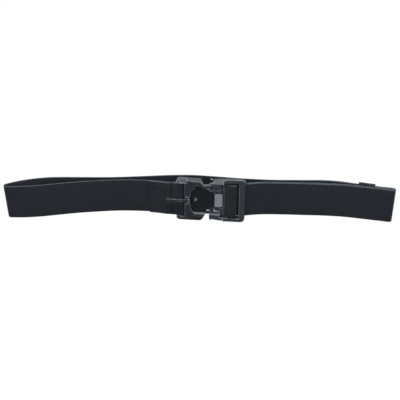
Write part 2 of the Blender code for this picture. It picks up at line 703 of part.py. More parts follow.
def build_pull_tab(material, parent):
    vertices = []
    for end in (TAB_NARROW, TAB_WIDE):
        for w in (end["back"], end["front"]):
            for side in (-1, 1):
                vertices.append((end["u"], -w, end["v"] + side * end["half_height"]))
    faces = [(0, 1, 3, 2), (4, 5, 7, 6), (0, 1, 5, 4), (2, 3, 7, 6), (0, 2, 6, 4), (1, 3, 7, 5)]
    tab = make_object("pull_tab", vertices, faces, material, parent)
    soften(tab, 0.7, 3)


def build_cord_guide(material, parent):
    """The ribbed sleeve in the end wall's notch that the cord runs through."""
    ribs = []
    for v in (-3.0, 0.0, 3.0):
        ribs += [(4.3, v - 1.45), (5.4, v - 0.8), (5.4, v + 0.8), (4.3, v + 1.45)]
    outline = [(-0.7, 4.45), (-0.7, -4.45)] + ribs
    guide = prism("cord_guide", outline, -28.6, -23.2, end_on, material, parent)
    mouth = block("mouth", (-30.0, -22.0), (-3.1, 1.7), (0.9, 3.75), None, parent)
    flare = block("flare", (-30.0, -26.6), (-3.1, 1.7), (1.5, 6.0), None, parent)
    combine(guide, [mouth, flare], "DIFFERENCE")
    soften(guide, 0.2, 1)


# The whole belt

def centre_on_floor():
    """Moves the belt so that the middle of its box is over the origin and its lowest point on the floor."""
    bpy.context.view_layer.update()
    graph = bpy.context.evaluated_depsgraph_get()
    corners = []
    for item in bpy.data.objects:
        if item.type == "MESH":
            shape = item.evaluated_get(graph)
            corners += [shape.matrix_world @ vertex.co for vertex in shape.data.vertices]
    low = np.min([tuple(corner) for corner in corners], axis=0)
    high = np.max([tuple(corner) for corner in corners], axis=0)
    shift = Matrix.Translation((-(low[0] + high[0]) / 2, -(low[1] + high[1]) / 2, -low[2]))
    for item in bpy.data.objects:
        if item.parent is None:
            item.matrix_world = shift @ item.matrix_world


def main():
    clear_scene()
    nylon = make_material("nylon_webbing", (0.013, 0.014, 0.018), 0.75, 0.0)
    band = make_material("elastic_band", (0.015, 0.016, 0.02), 0.7, 0.0)
    moulding = make_material("moulded_plastic", (0.03, 0.032, 0.036), 0.42, 0.0)
    dark = make_material("dark_plastic", (0.011, 0.012, 0.015), 0.5, 0.0)
    rubber = make_material("tab_rubber", (0.035, 0.036, 0.038), 0.55, 0.0)
    cord = make_material("cord_nylon", (0.03, 0.032, 0.036), 0.7, 0.0)
    steel = make_material("satin_steel", (0.2, 0.22, 0.25), 0.38, 1.0)

    frame = bpy.data.objects.new("buckle_middle", None)
    bpy.context.scene.collection.objects.link(frame)
    frame.location = (BUCKLE_X * MM, BUCKLE_Y * MM, FRAME_HALF_HEIGHT * MM)
    frame.rotation_euler = (0.0, 0.0, math.radians(BUCKLE_YAW))
    bpy.context.view_layer.update()

    build_webbing(nylon)
    build_keeper(band)
    build_buckle_left(moulding, frame)
    build_strap_pin(steel, frame)
    build_cover_plate(dark, frame)
    build_buckle_right(moulding, frame)
    build_latch(steel, frame)
    build_cord_guide(moulding, frame)
    build_pull_cord(cord, frame)
    build_pull_tab(rubber, frame)
    centre_on_floor()


main()
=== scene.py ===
# Tactical belt of ribbed nylon webbing, buckled and standing on its edge. Metres, +Z up.
import math

import bmesh
import bpy
import numpy as np
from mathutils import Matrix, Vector


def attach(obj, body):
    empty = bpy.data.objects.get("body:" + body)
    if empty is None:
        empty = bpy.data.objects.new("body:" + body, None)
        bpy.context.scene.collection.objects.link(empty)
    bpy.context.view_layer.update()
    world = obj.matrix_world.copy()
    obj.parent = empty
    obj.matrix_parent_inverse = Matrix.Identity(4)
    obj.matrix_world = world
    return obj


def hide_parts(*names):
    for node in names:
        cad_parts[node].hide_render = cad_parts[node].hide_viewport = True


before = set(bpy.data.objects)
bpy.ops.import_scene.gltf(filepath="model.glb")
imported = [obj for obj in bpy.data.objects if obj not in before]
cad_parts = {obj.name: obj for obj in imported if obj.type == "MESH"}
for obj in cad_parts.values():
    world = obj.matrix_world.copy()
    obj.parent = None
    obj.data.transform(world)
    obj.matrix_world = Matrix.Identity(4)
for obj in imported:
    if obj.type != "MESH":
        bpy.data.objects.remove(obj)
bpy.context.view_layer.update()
print("frame loaded")

mm = 0.001  # Lengths below are in millimetres, and become metres in the meshes
# From the drawing's plan to the frame, which has the belt's middle over the origin
planShift = np.array([2.4606, -3.1221, 0.0148])


# Nodes, colours and meshes

def hexLinear(text):
    # sRGB hex to linear: each channel by the sRGB curve
    values = np.array([int(text[k:k + 2], 16) for k in (1, 3, 5)]) / 255
    linear = np.where(values <= 0.04045, values / 12.92, ((values + 0.055) / 1.055) ** 2.4)
    return (*linear.tolist(), 1.0)


def feed(tree, socket, value):
    # An output is linked, hex text becomes a colour, and anything else is set as it is
    if isinstance(value, bpy.types.NodeSocket):
        tree.links.new(value, socket)
    else:
        socket.default_value = hexLinear(value) if isinstance(value, str) else value


def addNode(tree, kind, inputs=None, **properties):
    # A node with its properties, and its inputs by name or by number
    node = tree.nodes.new(kind)
    for key, value in properties.items():
        setattr(node, key, value)
    for key, value in (inputs or {}).items():
        feed(tree, node.inputs[key], value)
    return node


def reckon(tree, operation, *values):
    # One step of arithmetic on outputs or numbers
    return addNode(tree, "ShaderNodeMath", dict(enumerate(values)), operation=operation).outputs[0]


def mapRange(tree, value, low, high, toLow=0.0, toHigh=1.0):
    # Carries a value from one range to the other in a straight line, held at both ends
    return addNode(tree, "ShaderNodeMapRange", {
        "Value": value, "From Min": low, "From Max": high, "To Min": toLow, "To Max": toHigh,
    }).outputs["Result"]


def mixColours(tree, share, first, second):
    # From the first colour to the second by the share; the node's colours are its inputs 6 and 7
    return addNode(tree, "ShaderNodeMix", {0: share, 6: first, 7: second},
                   data_type="RGBA").outputs[2]


def noise(tree, place, scale, detail, rough=0.5):
    # Fractal noise between 0 and 1
    return addNode(tree, "ShaderNodeTexNoise", {
        "Vector": place, "Scale": scale, "Detail": detail, "Roughness": rough}).outputs["Fac"]


def addBump(tree, shader, height, strength, depth, normal=None):
    # Tilts the shader's normal by the slope of a height that is up to depth millimetres high
    bump = addNode(tree, "ShaderNodeBump", {
        "Height": height, "Strength": strength, "Distance": depth * mm})
    if normal:
        feed(tree, bump.inputs["Normal"], normal)
    feed(tree, shader.inputs["Normal"], bump.outputs["Normal"])


def newMaterial(name, look):
    # A Principled material whose uniform values are set on its own sockets
    material = bpy.data.materials.new(name)
    material.use_nodes = True
    tree = material.node_tree
    shader = tree.nodes["Principled BSDF"]
    for key, value in look.items():
        feed(tree, shader.inputs[key], value)
    return material, tree, shader


def putMesh(name, points, quads, material, uv=None):
    # Points and quads as arrays; turned outwards by the sign of the volume they close
    corner = points[quads]
    volume = np.einsum("ij,ij->i", corner[:, 0], np.cross(corner[:, 1], corner[:, 2])).sum()
    volume += np.einsum("ij,ij->i", corner[:, 0], np.cross(corner[:, 2], corner[:, 3])).sum()
    if volume < 0:
        quads = quads[:, ::-1]
    mesh = bpy.data.meshes.new(name)
    mesh.vertices.add(len(points))
    mesh.vertices.foreach_set("co", np.ascontiguousarray(points * mm, np.float32).ravel())
    mesh.loops.add(quads.size)
    mesh.loops.foreach_set("vertex_index", np.ascontiguousarray(quads, np.int32).ravel())
    mesh.polygons.add(len(quads))
    mesh.polygons.foreach_set("loop_start", np.arange(0, quads.size, 4, dtype=np.int32))
    mesh.polygons.foreach_set("use_smooth", np.ones(len(quads), bool))
    if uv is not None:
        layer = mesh.uv_layers.new(name="UVMap")
        layer.data.foreach_set("uv", np.ascontiguousarray(uv[quads], np.float32).ravel())
    mesh.update(calc_edges=True)
    mesh.validate()
    mesh.materials.append(material)
    piece = bpy.data.objects.new(name, mesh)
    bpy.context.scene.collection.objects.link(piece)
    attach(piece, "root")
    return piece


def gridQuads(rows, columns, closedRows=False, closedColumns=False):
    # Quads joining neighbours of a rows by columns grid, wrapping where it is closed
    row = np.arange(rows if closedRows else rows - 1)[:, None]
    column = np.arange(columns if closedColumns else columns - 1)[None, :]
    nextRow, nextColumn = (row + 1) % rows, (column + 1) % columns
    return np.stack([row * columns + column, row * columns + nextColumn,
                     nextRow * columns + nextColumn, nextRow * columns + column], -1).reshape(-1, 4)


def capQuads(first, count):
    # Closes a ring of even count by joining its two halves point to point
    low = np.arange(count // 2 - 1)
    high = count - 1 - low
    return first + np.column_stack([low, low + 1, high - 1, high])


def cappedTube(rings, count):
    # Quads of a row of rings with a cap on the first and the last
    return np.vstack([gridQuads(rings, count, closedColumns=True), capQuads(0, count),
                      capQuads((rings - 1) * count, count)])


# Curves in the plan, in millimetres

def smoothCurve(points, perSpan=16):
    # A centripetal spline through the points: each span blends its four nearest points in three
    # rounds, weighted by the roots of the distances between them
    points = np.asarray(points, float)
    ends = np.vstack([2 * points[0] - points[1], points, 2 * points[-1] - points[-2]])
    p0, p1, p2, p3 = (ends[k:len(ends) - 3 + k, None, :] for k in range(4))
    k1, k2, k3 = np.cumsum([np.sqrt(np.linalg.norm(b - a, axis=2, keepdims=True))
                            for a, b in ((p0, p1), (p1, p2), (p2, p3))], axis=0)
    t = k1 + (k2 - k1) * np.linspace(0, 1, perSpan, endpoint=False)[None, :, None]
    a1 = p0 + (p1 - p0) * t / k1
    a2 = p1 + (p2 - p1) * (t - k1) / (k2 - k1)
    a3 = p2 + (p3 - p2) * (t - k2) / (k3 - k2)
    b1 = a1 + (a2 - a1) * t / k2
    b2 = a2 + (a3 - a2) * (t - k1) / (k3 - k1)
    curve = b1 + (b2 - b1) * (t - k1) / (k2 - k1)
    return np.vstack([curve.reshape(-1, points.shape[1]), points[-1:]])


def runLengths(line):
    # Length run at each point of a line, in the plan
    return np.concatenate([[0.0], np.cumsum(np.linalg.norm(np.diff(line[:, :2], axis=0), axis=1))])


def atLengths(line, wanted):
    # The line's points at the wanted lengths along it
    lengths = runLengths(line)
    return np.column_stack([np.interp(wanted, lengths, column) for column in line.T])


def evenly(line, step):
    # The same line with a point every step along it
    whole = runLengths(line)[-1]
    wanted = np.linspace(0, whole, int(round(whole / step)) + 1)
    return wanted, atLengths(line, wanted)


def stretchOf(line, start, end, step=0.5):
    # The part of a line between two lengths along it
    return atLengths(line, np.linspace(start, end, int((end - start) / step) + 1))


def planNormals(line):
    # Unit normals, to the right of the way along the line
    tangent = np.gradient(line[:, :2], axis=0)
    tangent /= np.linalg.norm(tangent, axis=1)[:, None]
    return np.column_stack([tangent[:, 1], -tangent[:, 0]])


def beside(line, distance, lift=0.0):
    # The line moved to its right and up
    moved = line.copy()
    moved[:, :2] += planNormals(line) * distance
    moved[:, 2] += lift
    return moved


buckle = {"x": 12.5, "y": -11.0, "yaw": -6.5, "middle": 24.25}


def fromBuckle(u, v, w):
    # From the buckle's own length, height and depth to the frame, all in millimetres
    turn = math.radians(buckle["yaw"])
    u, v, w = (np.asarray(value, float) for value in (u, v, w))
    return np.stack([
        buckle["x"] + u * math.cos(turn) + w * math.sin(turn) + planShift[0],
        buckle["y"] + u * math.sin(turn) - w * math.cos(turn) + planShift[1],
        buckle["middle"] + v + planShift[2],
    ], -1)


# Materials

def nylonWebbingMaterial():
    # Woven nylon, piece dyed black: dull, a little blue, with painted light along the crowns of its
    # ribs and painted shade between them
    look = {"hex": "#161a21", "crownLitHex": "#21262d", "crownLitShare": 0.55, "fibreShare": 0.5,
            "warmHex": "#1a1c24", "warmFrom": 0.45, "warmTo": 0.7, "warmShare": 0.6,
            "warpPitch": 1.1, "weftPitch": 0.78, "fibreHeight": 0.4,
            "weaveStrength": 0.5, "weaveDepth": 0.12,
            # The rim colour is a painted highlight along the upper selvedge
            "rimHighlightHex": "#5c626a", "edge": (37.1, 37.8),
            "seamHex": "#07080a", "seamReach": (0.45, 1.35), "seamShare": 0.9,
            # Noises: turns to the metre, detail and roughness
            "patches": (14.0, 3.0, 0.6), "fibres": (900.0, 4.0, 0.7)}
    material, tree, shader = newMaterial("nylonWebbing", {
        "Roughness": 0.82, "Specular IOR Level": 0.3, "Sheen Weight": 0.1, "Sheen Roughness": 0.5})
    # The map holds the length along the strap and the height on it, both in metres
    uv = addNode(tree, "ShaderNodeUVMap", uv_map="UVMap").outputs["UV"]
    split = addNode(tree, "ShaderNodeSeparateXYZ", {"Vector": uv})
    s, height = split.outputs["X"], split.outputs["Y"]

    def wave(value, pitch):
        # Absolute cosine, with one crown for each pitch
        turns = reckon(tree, "MULTIPLY", value, math.pi / (pitch * mm))
        return reckon(tree, "ABSOLUTE", reckon(tree, "COSINE", turns))

    patches = noise(tree, uv, *look["patches"])
    fibres = noise(tree, uv, *look["fibres"])
    # Painted light on the rib crowns and painted shade in the valleys between them, added to random
    # fibre specks
    crown = reckon(tree, "MULTIPLY", wave(s, belt["ribPitch"]), look["crownLitShare"])
    speckAndCrownLight = reckon(tree, "MULTIPLY_ADD", fibres, look["fibreShare"], crown)
    colour = mixColours(tree, speckAndCrownLight, look["hex"], look["crownLitHex"])
    warm = mapRange(tree, patches, look["warmFrom"], look["warmTo"], 0.0, look["warmShare"])
    colour = mixColours(tree, warm, colour, look["warmHex"])
    # The upper selvedge, where the weft turns back, gets a painted highlight: its rounded top is
    # painted pale
    selvedge = mapRange(tree, height, look["edge"][0] * mm, look["edge"][1] * mm)
    paintedRimHighlight = reckon(tree, "MULTIPLY", selvedge, fibres)
    colour = mixColours(tree, paintedRimHighlight, colour, look["rimHighlightHex"])
    # The seam beside the pin is pulled tight and lies in its own shade: a dark line across
    away = reckon(tree, "ABSOLUTE", reckon(tree, "SUBTRACT", s, belt["seam"]["place"] * mm))
    core, reach = look["seamReach"]
    shade = mapRange(tree, away, core * mm, reach * mm, look["seamShare"], 0.0)
    colour = mixColours(tree, shade, colour, look["seamHex"])
    feed(tree, shader.inputs["Base Color"], colour)
    woven = reckon(tree, "MULTIPLY", wave(height, look["warpPitch"]), wave(s, look["weftPitch"]))
    raised = reckon(tree, "MULTIPLY_ADD", fibres, look["fibreHeight"], woven)
    addBump(tree, shader, raised, look["weaveStrength"], look["weaveDepth"])
    return material


def edgeMask(tree, radius):
    # Rounded-edge normal, and how far it turns from the flat one: 1 on an edge, 0 on a face
    onEdge, onFace = 0.9, 0.995  # Cosines of that turn
    rounded = addNode(tree, "ShaderNodeBevel", {"Radius": radius * mm}, samples=6).outputs["Normal"]
    flat = addNode(tree, "ShaderNodeNewGeometry").outputs["Normal"]
    agree = addNode(tree, "ShaderNodeVectorMath", {0: rounded, 1: flat}, operation="DOT_PRODUCT")
    return rounded, mapRange(tree, agree.outputs["Value"], onEdge, onFace, 1.0, 0.0)


def grainedMaterial(name, look):
    # Moulded part with the fine spark grain of its tool: a soft gloss that breaks up close to, and
    # edges rubbed smoother by handling and painted lighter, partly as wear and partly as a painted
    # highlight
    wearFrom, wearTo, leastWear = 0.3, 0.7, 0.45
    # Openness at which the painted recess shade starts and where it is full
    shadeFrom, shadeTo = 0.75, 0.25
    polish, grainDepth, grainDetail = -0.12, 0.04, 3.0
    wornPatches = (60.0, 4.0, 0.65)  # Turns to the metre, detail and roughness
    material, tree, shader = newMaterial(name, {"Specular IOR Level": look["specular"]})
    place = addNode(tree, "ShaderNodeTexCoord").outputs["Object"]
    grain = noise(tree, place, 1 / (look["grain"] * mm), grainDetail)
    patches = noise(tree, place, *wornPatches)
    normal, edge = edgeMask(tree, look["edge"])
    colour = mixColours(tree, patches, look["hex"], look["lightHex"])
    wear = mapRange(tree, patches, wearFrom, wearTo, leastWear, 1.0)
    # Edge colour: partly wear, partly a painted highlight along the edges
    edgeWearAndHighlight = reckon(tree, "MULTIPLY", edge, wear)
    colour = mixColours(tree, edgeWearAndHighlight, colour, look["edgeWearAndHighlightHex"])
    # Painted shade: where the surface is enclosed, in recesses and under parts, the colour is
    # painted dark, over any edge colour
    openness = addNode(tree, "ShaderNodeAmbientOcclusion", {"Distance": look["recess"] * mm},
                       samples=8).outputs["AO"]
    recessShade = mapRange(tree, openness, shadeTo, shadeFrom, 1.0, 0.0)
    colour = mixColours(tree, recessShade, colour, look["recessShadeHex"])
    feed(tree, shader.inputs["Base Color"], colour)
    rough = mapRange(tree, patches, 0.0, 1.0, *look["rough"])
    feed(tree, shader.inputs["Roughness"], reckon(tree, "MULTIPLY_ADD", edgeWearAndHighlight, polish, rough))
    addBump(tree, shader, grain, look["bump"], grainDepth, normal)
    return material


def satinSteelMaterial():
    # Stainless plate, brushed along its height, then passivated: a pale blue-grey satin
    look = {"hex": "#b8bec7", "darkHex": "#a9b0ba", "lines": 0.12, "stretch": (1.0, 1.0, 0.02),
            "rough": (0.6, 0.7), "lineDetail": 2.0, "lineStrength": 0.25, "lineDepth": 0.02}
    material, tree, shader = newMaterial("satinSteel", {"Metallic": 1.0})
    place = addNode(tree, "ShaderNodeTexCoord").outputs["Object"]
    stretched = addNode(tree, "ShaderNodeMapping", {"Vector": place, "Scale": look["stretch"]})
    lines = noise(tree, stretched.outputs["Vector"], 1 / (look["lines"] * mm), look["lineDetail"])
    colour = mixColours(tree, lines, look["darkHex"], look["hex"])
    feed(tree, shader.inputs["Base Color"], colour)
    feed(tree, shader.inputs["Roughness"], mapRange(tree, lines, 0.0, 1.0, *look["rough"]))
    addBump(tree, shader, lines, look["lineStrength"], look["lineDepth"])
    return material


# Finishes. The grain's size, the width of the worn and highlighted edge and the reach of the
# painted recess shade are in millimetres. Each finish's edge colour is partly wear and partly a
# painted highlight, and its darkest colour is painted shade

# Glass-filled nylon, injection moulded in a spark-eroded tool: dark blue-grey with a soft gloss
glassNylon = grainedMaterial("glassFilledNylon", {
    "hex": "#2a2e33", "lightHex": "#31363c", "edgeWearAndHighlightHex": "#969da6", "recessShadeHex": "#0a0c0e",
    "grain": 0.35, "bump": 0.35, "rough": (0.36, 0.46), "edge": 1.0,
    "recess": 7.0, "specular": 0.45})
# The other half came from another batch of the same nylon, a shade greyer
frameNylon = grainedMaterial("glassFilledNylonGrey", {
    "hex": "#33383e", "lightHex": "#3b4046", "edgeWearAndHighlightHex": "#a0a7b0", "recessShadeHex": "#0a0c0e",
    "grain": 0.35, "bump": 0.35, "rough": (0.36, 0.46), "edge": 1.0,
    "recess": 7.0, "specular": 0.45})
# Acetal, moulded in a finely blasted tool: near black and duller
acetal = grainedMaterial("acetalCover", {
    "hex": "#13161d", "lightHex": "#171b23", "edgeWearAndHighlightHex": "#3a3e45", "recessShadeHex": "#0a0b0d",
    "grain": 0.3, "bump": 0.3, "rough": (0.5, 0.6), "edge": 0.35, "recess": 4.0, "specular": 0.3})
# Thermoplastic rubber, moulded: greyer than the nylon, with a broad dull sheen
rubber = grainedMaterial("mouldedRubber", {
    "hex": "#202327", "lightHex": "#2a2d31", "edgeWearAndHighlightHex": "#9a9fa6", "recessShadeHex": "#0f1012",
    "grain": 0.3, "bump": 0.3, "rough": (0.45, 0.55), "edge": 1.0, "recess": 4.0, "specular": 0.5})
# Elastic band, woven over rubber cores: duller than the webbing, with its own fine ribs
elasticBand = grainedMaterial("wovenElastic", {
    "hex": "#181a1e", "lightHex": "#212428", "edgeWearAndHighlightHex": "#2c3036", "recessShadeHex": "#0c0d0f",
    "grain": 0.5, "bump": 0.6, "rough": (0.75, 0.85), "edge": 0.3, "recess": 3.0, "specular": 0.3})
# Nylon cord, braided from filament yarns: small bright flecks on each lobe
braidedNylon = grainedMaterial("braidedNylonCord", {
    "hex": "#292c31", "lightHex": "#484c53", "edgeWearAndHighlightHex": "#6a6f76", "recessShadeHex": "#101214",
    "grain": 0.25, "bump": 0.5, "rough": (0.5, 0.65), "edge": 0.2, "recess": 2.0, "specular": 0.5})
# Bonded polyester thread, twisted and waxed: a little glossier than the webbing it holds
sewingThread = grainedMaterial("bondedThread", {
    "hex": "#15181c", "lightHex": "#1e2126", "edgeWearAndHighlightHex": "#2a2d32", "recessShadeHex": "#121316",
    "grain": 0.2, "bump": 0.4, "rough": (0.5, 0.62), "edge": 0.1, "recess": 1.0, "specular": 0.4})
# Pad-printed paint: flat light grey
arrowPaint = grainedMaterial("padPrintedPaint", {
    "hex": "#9a9ea4", "lightHex": "#a9adb2", "edgeWearAndHighlightHex": "#7c8086", "recessShadeHex": "#5a5e63",
    "grain": 0.4, "bump": 0.2, "rough": (0.5, 0.6), "edge": 0.05, "recess": 1.0, "specular": 0.4})
steel = satinSteelMaterial()
print("mouldings' materials made")


# Webbing: one length, from its sewn fold on the bar pin round the loop, then through the
# adjuster and back inside as the tail

belt = {
    "width": 38.0, "thickness": 1.5, "layerGap": 0.3, "foldLength": 35.0, "foldMerge": 11.0,
    "tailLength": 262.0, "tailStart": 4.0, "tailLift": 0.35, "sag": 0.3,
    "ribPitch": 3.1, "ribDepth": 0.13, "stepsPerRib": 6,
    # Towards the selvedge the ribs fade, by their distance from it, to the least share
    "ribFade": {"from": 0.6, "over": 1.4, "least": 0.35},
    # The selvedge: its radius and the angles of its points, its scallops and how far they reach
    "edgeRound": 0.75, "edgeAngles": (14.0, 42.0, 70.0), "edgeScallop": 0.12, "edgeReach": 2.0,
    # Distance from the edge and share of the thickness: a shallow groove inside the selvedge
    "grooved": ((0.8, 1.0), (1.7, 0.88), (2.6, 1.0), (10.0, 1.0)),
    # At the left bend: millimetres at the lower edge, between these places from left to right
    "lean": {"amount": 0.9, "from": -188.0, "to": -212.0},
    # Bells along the strap: place or distance from the pin, half width and depth
    "dip": {"width": 7.0, "depth": 0.9, "lowerShare": 1 / 3},
    "bulge": {"width": 4.0, "depth": 1.0},
    "curl": {"before": 7.0, "width": 7.0, "depth": 2.0, "reach": 6.5},
    "seam": {"place": 26.0, "width": 0.6, "depth": 0.55},
}
# The bar pin's place along the buckle, half the flat of its section and its round ends
pin = {"u": -33.85, "flat": 1.2, "radius": 1.6, "play": 0.25, "beyondFold": 12.0, "turnPoints": 9}
webbingNylon = nylonWebbingMaterial()
buckleLift = buckle["middle"] - belt["width"] / 2
# Centre line in the plan, clockwise from the bar pin: x, y and the lower edge's height
frontLeftRun = [
    (-33.2, -5.9, 5.05), (-44.4, -2.4, 4.70), (-55.8, 0.8, 4.35), (-67.2, 2.5, 4.05),
    (-78.6, 3.8, 3.70), (-90.0, 4.6, 3.35), (-101.2, 4.4, 3.05), (-112.3, 3.7, 2.70),
    (-134.5, 1.8, 2.05), (-156.2, -1.8, 1.45), (-177.8, -5.4, 0.80), (-199.6, -6.6, 0.15)]
backRun = [
    (-203.0, 7.3, 0.0), (-189.5, 13.9, 0.0), (-168.5, 19.2, 0.0), (-134.8, 19.5, 0.0),
    (-100.0, 19.4, 0.0), (-67.7, 22.0, 0.0), (-34.0, 25.4, 0.0), (-8.0, 25.5, 0.0),
    (15.0, 21.9, 0.0), (43.5, 16.3, 0.0), (77.8, 11.9, 0.0), (111.0, 10.6, 0.2),
    (133.0, 9.4, 0.7), (146.0, 7.2, 1.0), (158.0, 3.2, 1.3), (171.0, -2.0, 1.40),
    (190.0, -8.8, 1.40)]
frontRightRun = [
    (198.5, -17.8, 1.45), (186.2, -15.0, 1.70), (175.8, -12.7, 1.95), (165.5, -10.4, 2.20),
    (154.8, -8.7, 2.50), (132.7, -7.2, 3.05), (110.5, -7.0, 3.60), (88.4, -6.7, 4.15),
    (66.2, -7.8, 4.70)]
# Bends: centre x, y, radius of the centre line, first and last angle, lower edge's height, points
leftBend = (-209.2, -2.2, 4.25, 265.0, 130.0, 0.0, 6)
rightBend = (205.4, -16.5, 3.15, 80.0, -95.0, 1.40, 7)
outerBar, behindBar = 31.0, -3.9  # Along the buckle, and the strap's depth behind that bar
# Weave round the adjuster: along the buckle, depth
adjusterWeave = [
    (35.4, behindBar), (31.5, behindBar), (28.6, behindBar + 0.05), (27.4, behindBar + 0.6),
    (26.75, behindBar + 1.7), (26.65, 0.0), (26.45, 2.2), (25.5, 3.1), (22.2, 3.15), (19.0, 3.1),
    (17.9, 2.2), (17.62, 0.0), (17.75, -2.6), (19.0, -4.8), (21.8, behindBar - 1.8),
    (31.5, behindBar - 1.8)]


def bendPoints(x, y, radius, start, end, lift, count):
    # A round bend: the centre plus the radius at even angles
    angles = np.radians(np.linspace(start, end, count))
    return np.column_stack([x + radius * np.cos(angles), y + radius * np.sin(angles),
                            np.full(count, lift)])


def buckleLine(pairs):
    # Places along and across the buckle as plan points at the strap's height there
    pairs = np.array(pairs, float)
    points = fromBuckle(pairs[:, 0], 0.0 * pairs[:, 0], pairs[:, 1])
    points[:, :2] -= planShift[:2]
    points[:, 2] = buckleLift
    return points


def pinTurn():
    # Flat front, half circle round the pin's right side, flat back: the line from fold to loop
    radius = pin["radius"] + pin["play"] + belt["thickness"] / 2
    angles = np.radians(np.linspace(90.0, -90.0, pin["turnPoints"]))
    middle = pin["u"] + pin["flat"]
    arc = np.column_stack([middle + radius * np.cos(angles), radius * np.sin(angles)])
    front = [(pin["u"] - pin["flat"], radius), (pin["u"], radius)]
    back = [(pin["u"], -radius), (pin["u"] - pin["flat"], -radius)]
    return buckleLine(np.vstack([front, arc, back]))


def webbingLine():
    # Fold, turn round the pin, main loop, weave and tail joined into one line
    layer = belt["thickness"] + belt["layerGap"]
    main = smoothCurve(np.vstack([
        pinTurn()[-1:], frontLeftRun, bendPoints(*leftBend), backRun, bendPoints(*rightBend),
        frontRightRun, buckleLine(adjusterWeave[:1]) - (0, 0, belt["sag"])]))
    fold = stretchOf(beside(main, -layer), belt["foldMerge"], belt["foldLength"])[::-1]
    turn = smoothCurve(np.vstack([fold[-1:], pinTurn()]))[1:-1]
    # The strap comes to the adjuster sagging a little, and leaves it rising to the tail's height
    weave = buckleLine(adjusterWeave)
    sagging, rising = 2, 4
    weave[:sagging, 2] -= belt["sag"]
    weave[-rising:, 2] += np.linspace(0, belt["tailLift"], rising)
    weave = smoothCurve(weave)[1:]
    inside = beside(main[::-1], -layer, belt["tailLift"])
    tail = stretchOf(inside, belt["tailStart"], belt["tailLength"])
    return main, np.vstack([fold, turn, main, weave, tail])


mainLine, wholeLine = webbingLine()
along, stations = evenly(wholeLine, belt["ribPitch"] / belt["stepsPerRib"])
stationNormals = planNormals(stations)
pinAlong = belt["foldLength"] - belt["foldMerge"] + pin["beyondFold"]
barAlong = along[np.argmin(np.linalg.norm(stations - buckleLine([(outerBar, behindBar)]), axis=1))]


def webbingSection():
    # Half the ring, from the lower edge to the upper: distance from the edge and share of thickness
    angles = np.radians(belt["edgeAngles"])
    arc = np.column_stack([belt["edgeRound"] * (1 - np.cos(angles)), np.sin(angles)])
    lower = np.vstack([arc, belt["grooved"]])
    heights = np.concatenate([lower[:, 0], [belt["width"] / 2], belt["width"] - lower[::-1, 0]])
    shares = np.concatenate([lower[:, 1], [1.0], lower[::-1, 1]])
    return heights, shares


def bell(distance, shape):
    # The depth times e to the minus square of the distance over the half width
    return shape["depth"] * np.exp(-(distance / shape["width"]) ** 2)


def pressedBySeam(s):
    # How far the seam beside the pin presses the webbing in
    return bell(s - belt["seam"]["place"], belt["seam"])


def ribCrown(s):
    # 1 on a rib's crown, 0 between two: the absolute cosine of the length along
    return np.abs(np.cos(math.pi * s / belt["ribPitch"]))


def ribbedThickness(s, edgeDistance):
    # Half the thickness, less the depth between the ribs, which fades at the selvedges
    fade = belt["ribFade"]
    share = np.clip((edgeDistance - fade["from"]) / fade["over"], fade["least"], 1.0)
    return belt["thickness"] / 2 - belt["ribDepth"] * (1 - ribCrown(s)) * share - pressedBySeam(s)


def leanAt(x, height):
    # At the left bend the lower edge leans in, by a smooth step of x
    lean = belt["lean"]
    share = np.clip((lean["from"] - x) / (lean["from"] - lean["to"]), 0, 1)
    return lean["amount"] * share ** 2 * (3 - 2 * share) * (1 - height / belt["width"])


def makeWebbing():
    # A ring of the section at each station, moved across by its depth and up by its rise
    heights, shares = webbingSection()
    ringHeights = np.concatenate([heights, heights[::-1]])[None, :]
    ringShares = np.concatenate([shares, -shares[::-1]])[None, :]
    s = along[:, None]
    edgeDistance = np.minimum(ringHeights, belt["width"] - ringHeights)
    depth = ringShares * ribbedThickness(s, edgeDistance)
    # The selvedge is scalloped by the ribs. Round the pin the upper edge dips, and behind the
    # outer bar the lower edge spreads; both die out in a bell along the strap, and away from
    # the edge
    dip = bell(s - pinAlong, belt["dip"])
    bulge = bell(s - barAlong, belt["bulge"])
    scallop = belt["edgeScallop"] * (1 - ribCrown(s))
    moved = np.where(ringHeights < belt["width"] / 2,
                     scallop - dip * belt["dip"]["lowerShare"] - bulge, -scallop - dip)
    rise = ringHeights + moved * np.exp(-edgeDistance / belt["edgeReach"])
    depth = depth + leanAt(stations[:, :1], ringHeights)
    # Over the pin the upper edge curls back, by the square of the height above the curl's foot
    curl = belt["curl"]
    lifted = np.clip((ringHeights - belt["width"] + curl["reach"]) / curl["reach"], 0, 1) ** 2
    depth = depth - lifted * bell(s - pinAlong + curl["before"], curl)
    points = np.stack([
        stations[:, :1] + stationNormals[:, :1] * depth,
        stations[:, 1:2] + stationNormals[:, 1:2] * depth,
        stations[:, 2:3] + rise,
    ], -1).reshape(-1, 3) + planShift
    quads = cappedTube(len(along), ringHeights.size)
    uv = np.stack(np.broadcast_arrays(s, ringHeights), -1).reshape(-1, 2) * mm
    piece = putMesh("ribbed_webbing", points, quads, webbingNylon, uv)
    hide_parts("webbing")


makeWebbing()
print("webbing made")


# Stitches of the fold: a box with a cross, through both layers

sewing = {
    "box": (3.0, 21.0, 4.0, 34.0), "pitch": 2.9, "length": 2.35, "width": 0.55, "raise": 0.16,
    "rings": 6, "around": 8, "taper": 0.98,
    "seamRows": (24.6, belt["seam"]["place"]), "seamFrom": 1.5, "seamTo": 36.5, "seamPitch": 1.9,
}


